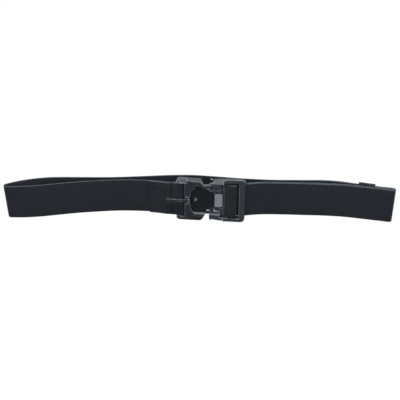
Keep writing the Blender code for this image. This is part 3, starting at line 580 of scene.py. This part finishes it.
def stitchPlaces(lines, pitch):
    # Middles and half lengths of stitches at an even pitch along straight lines of (length, height)
    places, halves = [], []
    for first, last in np.array(lines, float):
        way = last - first
        length = np.linalg.norm(way)
        count = int(length / pitch)
        share = (np.arange(count) + 0.5) / count
        places.append(first + way * share[:, None])
        halves.append(np.tile(way / length, (count, 1)))
    return np.vstack(places), np.vstack(halves) * sewing["length"] / 2


def onWebbing(s, height, side, proud):
    # A point on one face of the webbing, proud of its crowns and down in the seam's groove
    depth = side * (belt["thickness"] / 2 - pressedBySeam(s) + proud)
    x, y, z = (np.interp(s, along, column) for column in stations.T)
    normalX, normalY = (np.interp(s, along, column) for column in stationNormals.T)
    return np.column_stack([x + normalX * depth, y + normalY * depth, z + height]) + planShift


def makeStitches(name, lines, pitch, surface):
    # Each stitch is a flattened spindle: an ellipse that thins by the fourth power of the distance
    # from its middle, under a square root
    places, halves = stitchPlaces(lines, pitch)
    start, end = surface(places - halves), surface(places + halves)
    middle = surface(places)
    reach = (end - start) / 2
    outward = surface(places, 1.0) - middle
    across = np.cross(reach, outward)
    across *= sewing["width"] / 2 / np.linalg.norm(across, axis=1)[:, None]
    outward *= sewing["raise"] / np.linalg.norm(outward, axis=1)[:, None]
    rows, columns = sewing["rings"], sewing["around"]
    turn = 2 * math.pi * np.arange(columns) / columns
    span = np.linspace(-1, 1, rows)
    thick = (1 - sewing["taper"] * span ** 4) ** 0.5
    points = (middle[:, None, None, :] + span[None, :, None, None] * reach[:, None, None, :]
              + (thick[:, None] * np.cos(turn))[None, :, :, None] * across[:, None, None, :]
              + (thick[:, None] * np.sin(turn))[None, :, :, None] * outward[:, None, None, :])
    firsts = np.arange(len(places)) * rows * columns
    quads = (cappedTube(rows, columns)[None] + firsts[:, None, None]).reshape(-1, 4)
    putMesh(name, points.reshape(-1, 3), quads, sewingThread)


def foldLines():
    # The box's four sides and its two diagonals
    left, right, low, high = sewing["box"]
    corners = [(left, low), (right, low), (right, high), (left, high)]
    edges = [(corners[k], corners[(k + 1) % 4]) for k in range(4)]
    return edges + [(corners[0], corners[2]), (corners[3], corners[1])]


def foldFront(places, proud=0.0):
    # On the outer face of the folded layer
    return onWebbing(places[:, 0], places[:, 1], 1, proud)


def foldBack(places, proud=0.0):
    # The same stitches on the inner face of the main layer, which runs the other way
    mainStart = np.argmin(np.linalg.norm(wholeLine - mainLine[0], axis=1))
    s = runLengths(wholeLine)[mainStart] + belt["foldLength"] - places[:, 0]
    return onWebbing(s, places[:, 1], 1, proud)


makeStitches("fold_stitches_front", foldLines(), sewing["pitch"], foldFront)
makeStitches("fold_stitches_back", foldLines(), sewing["pitch"], foldBack)
seamLines = [((s, sewing["seamFrom"]), (s, sewing["seamTo"])) for s in sewing["seamRows"]]
makeStitches("seam_stitches_front", seamLines, sewing["seamPitch"], foldFront)
print("stitches made")


# Keeper: a band of woven elastic round the strap and its tail

keeper = {
    "start": 172.5, "length": 17.5, "wall": 1.0, "play": 0.3, "corner": 1.0, "innerCorner": 0.4,
    "ribs": 11, "ribDepth": 0.12, "pointsPerRib": 6,
    # Round each edge of the band: share of the wall and share of the length
    "edgeOut": (0.82, 0.5, 0.18), "edgeAcross": (0.006, 0.0, 0.006), "outerFrom": 0.012,
    "innerFrom": 0.015, "innerPoints": 12,
}


def roundedLoop(halfDepth, low, high, corner, perCorner=8, perSide=26):
    # Clockwise ring of (depth, height): four sides with quarter circles between them
    corners = [(-halfDepth + corner, low + corner, 180), (halfDepth - corner, low + corner, 270),
               (halfDepth - corner, high - corner, 0), (-halfDepth + corner, high - corner, 90)]
    parts = []
    for k, (depth, height, first) in enumerate(corners):
        angles = np.radians(np.linspace(first, first + 90, perCorner))
        arc = np.column_stack([depth + corner * np.cos(angles), height + corner * np.sin(angles)])
        nextDepth, nextHeight, nextFirst = corners[(k + 1) % 4]
        angle = math.radians(nextFirst)
        goal = np.array([nextDepth + corner * math.cos(angle),
                         nextHeight + corner * math.sin(angle)])
        share = np.linspace(0, 1, perSide, endpoint=False)[1:, None]
        parts += [arc, arc[-1] + (goal - arc[-1]) * share]
    return np.vstack(parts)


def makeKeeper():
    # Section across the band carried round the loop; the loop's two walls share its parameter
    layer = belt["thickness"] + belt["layerGap"]
    middle = beside(mainLine, layer / 2)
    lengths = runLengths(middle)
    # Length along the strap at the start, which is given as a place from left to right
    first = np.argmax(middle[:, 0] > keeper["start"])
    span = slice(first - 1, first + 1)
    start = np.interp(keeper["start"], middle[span, 0], lengths[span])
    halfDepth = belt["thickness"] + belt["layerGap"] / 2 + keeper["play"]
    low, high = -keeper["play"], belt["width"] + belt["tailLift"] + keeper["play"]
    wall = keeper["wall"]
    inner = roundedLoop(halfDepth, low, high, keeper["innerCorner"])
    outer = roundedLoop(halfDepth + wall, low - wall, high + wall, keeper["corner"])
    # The ribs are crowns of an absolute sine across the outer face
    face = np.linspace(0, 1, keeper["pointsPerRib"] * keeper["ribs"] + 1)
    crown = np.abs(np.sin(math.pi * face * keeper["ribs"]))
    edgeOut, edgeAcross = np.array(keeper["edgeOut"]), np.array(keeper["edgeAcross"])
    outerFrom, innerFrom = keeper["outerFrom"], keeper["innerFrom"]
    innerPoints = keeper["innerPoints"]
    outward = np.concatenate([1 - keeper["ribDepth"] * (1 - crown), edgeOut,
                              np.zeros(innerPoints), edgeOut[::-1]])
    across = np.concatenate([outerFrom + (1 - 2 * outerFrom) * face, 1 - edgeAcross,
                             np.linspace(1 - innerFrom, innerFrom, innerPoints), edgeAcross])
    s = start + keeper["length"] * across
    centre = atLengths(middle, s)
    normal = np.column_stack([np.interp(s, lengths, column) for column in planNormals(middle).T])
    ring = inner[:, None, :] + (outer - inner)[:, None, :] * outward[None, :, None]
    points = np.stack([
        centre[None, :, 0] + normal[None, :, 0] * ring[..., 0],
        centre[None, :, 1] + normal[None, :, 1] * ring[..., 0],
        centre[None, :, 2] + ring[..., 1],
    ], -1).reshape(-1, 3) + planShift
    quads = gridQuads(len(inner), len(across), closedRows=True, closedColumns=True)
    piece = putMesh("keeper_band", points, quads, elasticBand)
    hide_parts("keeper_loop")


makeKeeper()
print("keeper made")


# Buckle: welded copies of the moulded solids, shaded smooth over their rounded edges

welding = {"reach": 0.005, "flatWithin": 0.5}
# Each solid's piece, its material and the angle in degrees above which an edge stays sharp
mouldings = {
    "buckle_left": ("buckle_left_moulding", glassNylon, 30.0),
    "buckle_right": ("buckle_right_moulding", frameNylon, 30.0),
    "cover_plate": ("cover_moulding", acetal, 50.0),
    "cord_guide": ("cord_guide_moulding", glassNylon, 50.0),
    "pull_tab": ("pull_tab_moulding", rubber, 60.0),
    "strap_pin": ("strap_pin_bar", steel, 40.0),
    "latch_plate": ("latch_plate_pressing", steel, 40.0),
    "latch_foot": ("latch_foot_pressing", steel, 40.0),
}


def weldedCopy(node, name, material, angle):
    # Merges the loose triangles and keeps an edge sharp above the angle
    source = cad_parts[node]
    work = bmesh.new()
    work.from_mesh(source.data)
    bmesh.ops.remove_doubles(work, verts=work.verts, dist=welding["reach"] * mm)
    bmesh.ops.dissolve_limit(work, angle_limit=math.radians(welding["flatWithin"]),
                             verts=work.verts, edges=work.edges)
    mesh = bpy.data.meshes.new(name)
    work.to_mesh(mesh)
    work.free()
    if "custom_normal" in mesh.attributes:
        mesh.attributes.remove(mesh.attributes["custom_normal"])
    mesh.polygons.foreach_set("use_smooth", np.ones(len(mesh.polygons), bool))
    mesh.set_sharp_from_angle(angle=math.radians(angle))
    mesh.materials.append(material)
    piece = bpy.data.objects.new(name, mesh)
    bpy.context.scene.collection.objects.link(piece)
    weighted = piece.modifiers.new("flatFaces", "WEIGHTED_NORMAL")
    weighted.keep_sharp = True
    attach(piece, "root")
    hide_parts(node)


for node, (name, material, angle) in mouldings.items():
    weldedCopy(node, name, material, angle)
print("buckle dressed")


# Arrow: a printed outline on the cover's raised arrow

arrow = {"tip": (-15.1, 0.8), "back": -18.0, "middle": 0.8, "half": 2.3, "stroke": 0.6,
         "inradius": 1.35, "front": 3.3, "film": 0.06, "sunk": 0.02}


def makeArrow():
    # A triangle's outline, drawn in front view and given a film's depth. The inner ring is the
    # outer one drawn in towards its middle, by the stroke's share of the inradius
    outer = np.array([(arrow["back"], arrow["middle"] - arrow["half"]), arrow["tip"],
                      (arrow["back"], arrow["middle"] + arrow["half"])])
    centre = outer.mean(axis=0)
    inner = centre + (outer - centre) * (1 - arrow["stroke"] / arrow["inradius"])
    flat = np.vstack([outer, inner])
    levels = (arrow["front"] - arrow["sunk"], arrow["front"] + arrow["film"])
    points = np.vstack([fromBuckle(*flat.T, np.full(len(flat), level)) for level in levels])
    quads = []
    for k in range(3):
        after = (k + 1) % 3
        quads += [(k, after, after + 3, k + 3), (k + 6, k + 9, after + 9, after + 6),
                  (k, k + 6, after + 6, after), (k + 3, after + 3, after + 9, k + 9)]
    piece = putMesh("cover_arrow", points, np.array(quads), arrowPaint)
    piece.data.polygons.foreach_set("use_smooth", np.zeros(len(quads), bool))


makeArrow()


# Pull cord: two braided strands from the guide to the tab

cord = {
    "radius": 0.88, "apart": 0.85, "braid": 0.07, "lobes": 4, "pitch": 3.6,
    "step": 0.16, "around": 28,
    # Along the buckle, height and depth
    "route": [(-22.8, -0.8, 2.35), (-26.0, -0.8, 2.6), (-29.0, -0.7, 3.6), (-32.0, -0.6, 5.0),
              (-35.0, -0.6, 5.6), (-37.9, -0.7, 5.6)],
}


def makeCord():
    # A tube along the route. Its radius follows the higher of two sines that wind opposite ways
    # round it, which raises crossing lobes like a braid's
    route = smoothCurve(np.array(cord["route"])[:, [0, 2, 1]])  # Height last, as in the plan
    s, line = evenly(route, cord["step"])
    count = cord["around"]
    turn = 2 * math.pi * np.arange(count) / count
    climb = 2 * math.pi * s[:, None] / cord["pitch"]
    lobes = cord["lobes"] * turn
    weave = np.maximum(np.sin(lobes + climb), np.sin(lobes - climb))
    radius = cord["radius"] * (1 + cord["braid"] * (weave - 1))
    strands, quads = [], []
    for side in (-1, 1):
        middle = fromBuckle(line[:, 0], line[:, 2] + side * cord["apart"], line[:, 1])
        forward = np.gradient(middle, axis=0)
        forward /= np.linalg.norm(forward, axis=1)[:, None]
        sideways = np.cross(forward, [0, 0, 1])
        sideways /= np.linalg.norm(sideways, axis=1)[:, None]
        upward = np.cross(sideways, forward)
        points = (middle[:, None, :] + (radius * np.cos(turn))[..., None] * sideways[:, None, :]
                  + (radius * np.sin(turn))[..., None] * upward[:, None, :])
        quads.append(len(strands) * radius.size + cappedTube(len(s), count))
        strands.append(points.reshape(-1, 3))
    piece = putMesh("pull_cord_strands", np.vstack(strands), np.vstack(quads), braidedNylon)
    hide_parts("pull_cord")


makeCord()
print("cord and arrow made")


# Floor, light and camera, without which nothing shows; none of it belongs to the belt

def makeFloor():
    # Opal acrylic lit from below: even white, without shadows
    material = newMaterial("paleFloor", {
        "Base Color": "#101010", "Roughness": 0.9, "Specular IOR Level": 0.0,
        "Emission Color": "#ffffff", "Emission Strength": 1.0})[0]
    mesh = bpy.data.meshes.new("floor")
    # A square floor in metres with walls, its inner side up: the lower corners, then the upper
    reach, height = 8.0, 12.0
    corners = [(-reach, -reach), (reach, -reach), (reach, reach), (-reach, reach)]
    points = [(x, y, z) for z in (0.0, height) for x, y in corners]
    walls = [(k + 4, (k + 1) % 4 + 4, (k + 1) % 4, k) for k in range(4)]
    mesh.from_pydata(points, [], [(0, 1, 2, 3), *walls])
    mesh.materials.append(material)
    floor = bpy.data.objects.new("floor", mesh)
    # As with black flags beside a product, the floor throws no light back on the belt
    floor.visible_diffuse = False
    floor.visible_glossy = False
    floor.visible_shadow = False
    bpy.context.scene.collection.objects.link(floor)


def addLight(name, place, aim, size, power):
    # A softbox that faces its aim
    light = bpy.data.lights.new(name, "AREA")
    light.shape = "RECTANGLE"
    light.size, light.size_y = size
    light.energy = power
    lamp = bpy.data.objects.new(name, light)
    lamp.location = place
    lamp.rotation_euler = (Vector(aim) - Vector(place)).to_track_quat("-Z", "Y").to_euler()
    bpy.context.scene.collection.objects.link(lamp)


def makeRoom():
    # Soft room light, bright above the table and dark under it, by the height of each direction
    world = bpy.data.worlds.new("softRoom")
    world.use_nodes = True
    tree = world.node_tree
    way = addNode(tree, "ShaderNodeNewGeometry").outputs["Position"]
    height = addNode(tree, "ShaderNodeSeparateXYZ", {"Vector": way}).outputs["Z"]
    (low, dark), (high, bright) = room["dark"], room["bright"]
    background = tree.nodes["Background"]
    feed(tree, background.inputs["Color"], room["tint"])
    feed(tree, background.inputs["Strength"], mapRange(tree, height, low, high, dark, bright))
    bpy.context.scene.world = world


def makeCamera():
    # 25 degrees above the floor, 664 mm from the aim; 600 px focal length on a 400 px frame
    view = {"elevation": 25.0, "distance": 0.664, "aimHeight": 0.01863,
            "lens": 54.0, "sensor": 36.0, "clip": 0.01}
    tilt = math.radians(view["elevation"])
    camera = bpy.data.cameras.new("camera")
    camera.lens = view["lens"]
    camera.sensor_width = view["sensor"]
    camera.clip_start = view["clip"]
    shot = bpy.data.objects.new("camera", camera)
    x, y = planShift[0] * mm, planShift[1] * mm
    shot.location = (x, y - view["distance"] * math.cos(tilt),
                     view["aimHeight"] + view["distance"] * math.sin(tilt))
    shot.rotation_euler = (math.pi / 2 - tilt, 0.0, 0.0)
    bpy.context.scene.collection.objects.link(shot)
    bpy.context.scene.camera = shot


# Height of a direction and the strength there, dark below and bright above
room = {"dark": (-0.15, 0.03), "bright": (0.35, 0.26), "tint": (0.9, 1.0, 1.12, 1.0)}
# Place, aim, size and power, in metres and watts. The bounce stands for a white floor that
# lights the back from below, where the photo's camera doesn't look
softboxes = {
    "overhead": ((0.0, -0.2, 1.2), (0.0, 0.0, 0.0), (1.6, 0.35), 15.0),
    "front": ((0.0, -1.4, 0.6), (0.0, 0.0, 0.03), (1.8, 0.8), 16.0),
    "behind": ((0.0, 1.5, 0.35), (0.0, 0.0, 0.02), (3.4, 1.4), 10.0),
    "bounce": ((0.0, 1.3, -0.5), (0.0, 0.0, 0.03), (3.4, 0.7), 20.0),
    "leftStrip": ((-1.2, 0.25, 0.35), (0.0, 0.0, 0.03), (0.8, 1.1), 3.0),
    "rightStrip": ((1.2, 0.25, 0.35), (0.0, 0.0, 0.03), (0.8, 1.1), 8.0),
}
makeFloor()
makeRoom()
for name, softbox in softboxes.items():
    addLight(name, *softbox)
bpy.context.scene.view_settings.view_transform = "Standard"
makeCamera()
print("stage set")
